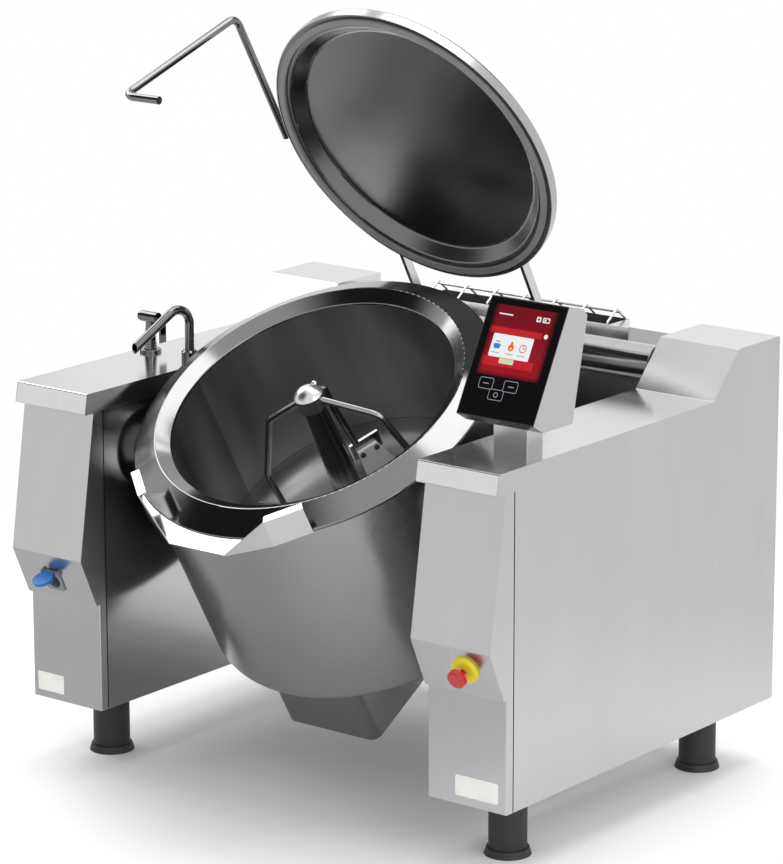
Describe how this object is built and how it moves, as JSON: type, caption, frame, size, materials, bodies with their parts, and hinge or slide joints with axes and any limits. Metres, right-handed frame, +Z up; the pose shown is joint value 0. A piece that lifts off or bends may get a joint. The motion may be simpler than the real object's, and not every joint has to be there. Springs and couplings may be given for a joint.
{
  "type": "steam jacketed kettle",
  "caption": "Tilting round kettle with a steam jacket and mixer, hung between two cabinet pillars, with a hinged round lid, pouring spout, tap, hand shower and control head.",
  "frame": {"origin": "centre of the bounding box on the floor", "axes": "+X to the operator's right across the machine, +Y to the back, +Z up"},
  "size_m": [1.2, 1.0865, 1.5491],
  "materials": {
    "stainless": "brushed stainless sheet",
    "polished": "polished stainless",
    "black_glass": "black touch glass",
    "black_plastic": "matt black",
    "grey_rubber": "soft seal",
    "dark_chrome": "dark polished metal",
    "red_plastic": "moulded",
    "yellow_plastic": "moulded",
    "blue_plastic": "moulded",
    "grey_plastic": "moulded",
    "plate": "blank plate",
    "light_plastic": "scraper plastic",
    "dark_steel": "dark screws",
    "bronze": "sintered bushes",
    "painted_grey": "machine paint"
  },
  "bodies": {
    "cabinet": {"left_side_panel": "stainless", "right_side_panel": "stainless", "left_inner_panel": "stainless", "right_inner_panel": "stainless", "left_front_fascia": "stainless", "right_front_fascia": "stainless", "left_kick_panel": "stainless", "right_kick_panel": "stainless", "left_top_cover": "stainless", "right_top_cover": "stainless", "left_rear_panel": "stainless", "right_rear_panel": "stainless", "left_base_plate": "stainless", "right_base_plate": "stainless", "base_frame": "painted_grey", "foot_tubes": "polished", "foot_sleeves": "black_plastic", "control_housing": "stainless", "housing_neck": "stainless", "touch_glass": "black_glass", "display_module": "black_plastic", "estop_collar": "yellow_plastic", "socket_body": "grey_plastic", "tap_base": "dark_chrome", "shower_base": "dark_chrome", "blank_plates": "plate", "rear_housing": "stainless", "flue_tray": "polished", "flue_guard": "polished", "lid_bearings": "painted_grey", "lid_spring_cartridges": "painted_grey", "trunnion_bearings": "painted_grey", "tilt_gearmotor": "painted_grey"},
    "kettle": {"pan_wall": "stainless", "pan_bottom": "stainless", "rim_ring": "polished", "outer_shell": "stainless", "steam_jacket": "stainless", "pour_spout": "polished", "trunnions": "polished", "gearmotor_cover": "stainless", "mixer_gearmotor": "painted_grey", "center_column": "stainless", "column_bushes": "bronze"},
    "mixer": {"mixer_shaft": "polished", "mixer_hub": "polished", "mixer_arms": "polished", "scraper_holders": "stainless", "scraper_plates": "light_plastic", "scraper_screws": "dark_steel"},
    "lid": {"lid_shell": "stainless", "lid_inner_panel": "stainless", "lid_gasket": "grey_rubber", "lid_arms": "stainless", "hinge_tube": "polished", "lid_handle": "polished"},
    "estop_button": {"estop_button": "red_plastic"},
    "socket_cover": {"socket_cover": "blue_plastic"},
    "tap": {"tap_spout": "dark_chrome"},
    "hand_shower": {"shower_gun": "dark_chrome"},
    "shower_lever": {"shower_lever": "dark_chrome"}
  },
  "joints": [
    {"name": "kettle_tilt", "type": "hinge", "parent": "cabinet", "child": "kettle", "pos_m": [0, -0.1922, 0.6443], "axis": [1, 0, 0], "range_deg": [-30.7, 59.3]},
    {"name": "mixer_spin", "type": "hinge", "parent": "kettle", "child": "mixer", "pos_m": [0, -0.20661, 0.8188], "axis": [0, -0.5105, 0.8599], "continuous": true},
    {"name": "lid_swing", "type": "hinge", "parent": "cabinet", "child": "lid", "pos_m": [0, 0.388, 0.829], "axis": [-1, 0, 0], "range_deg": [-22, 10]},
    {"name": "estop_push", "type": "slide", "parent": "cabinet", "child": "estop_button", "axis": [0, 0.9131, 0.4077], "range_m": [0, 0.005], "stiffness_N_per_m": 600},
    {"name": "socket_cover_hinge", "type": "hinge", "parent": "cabinet", "child": "socket_cover", "pos_m": [-0.512, -0.40485, 0.41224], "axis": [1, 0, 0], "range_deg": [0, 90]},
    {"name": "tap_swivel", "type": "hinge", "parent": "cabinet", "child": "tap", "pos_m": [-0.45, -0.0395, 0.81], "axis": [0, 0, 1], "range_deg": [-60, 45]},
    {"name": "shower_lift", "type": "slide", "parent": "cabinet", "child": "hand_shower", "axis": [0, 0, 1], "range_m": [0, 0.05]},
    {"name": "shower_lever_squeeze", "type": "hinge", "parent": "hand_shower", "child": "shower_lever", "pos_m": [-0.5385, -0.0304, 0.8606], "axis": [0, 1, 0], "range_deg": [0, 15], "stiffness_Nm_per_rad": 0.5}
  ]
}
